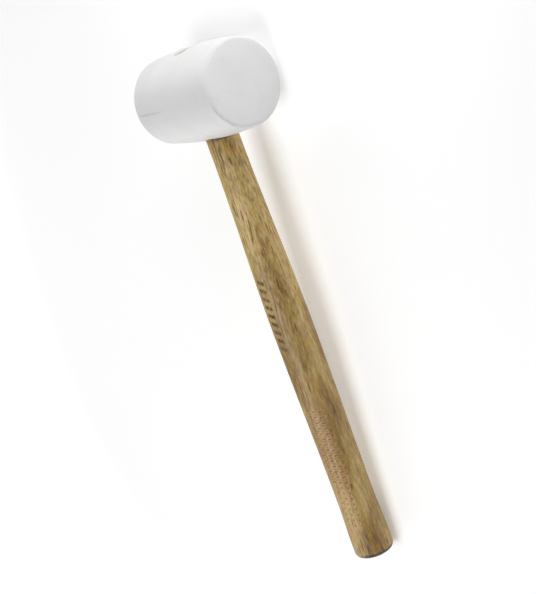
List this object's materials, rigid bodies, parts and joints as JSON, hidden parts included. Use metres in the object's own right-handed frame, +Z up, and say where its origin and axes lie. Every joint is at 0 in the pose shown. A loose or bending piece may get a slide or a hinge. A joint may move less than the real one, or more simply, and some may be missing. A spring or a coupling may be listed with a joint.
{
  "type": "rubber mallet",
  "caption": "Rubber mallet with a barrel-shaped white rubber head and a turned wooden handle, for tapping pavers, tiles and stone without marking them.",
  "frame": {"origin": "on the floor, under the middle of the box round the mallet as it lies at rest", "axes": "+Z up; +X from the butt of the handle towards the head; the striking faces look along -Y and +Y; the handle leans down to the floor by about 3 degrees"},
  "size_m": [0.351, 0.087, 0.06],
  "materials": {
    "white_rubber": "smooth matt moulded white rubber",
    "handle_wood": "turned ash, thin clear lacquer",
    "wedge_wood": "sawn hardwood, end grain showing",
    "wedge_steel": "plain mild steel"
  },
  "bodies": {
    "root": {"head": "white_rubber", "handle": "handle_wood", "wood_wedge": "wedge_wood", "steel_wedge": "wedge_steel"}
  },
  "joints": []
}
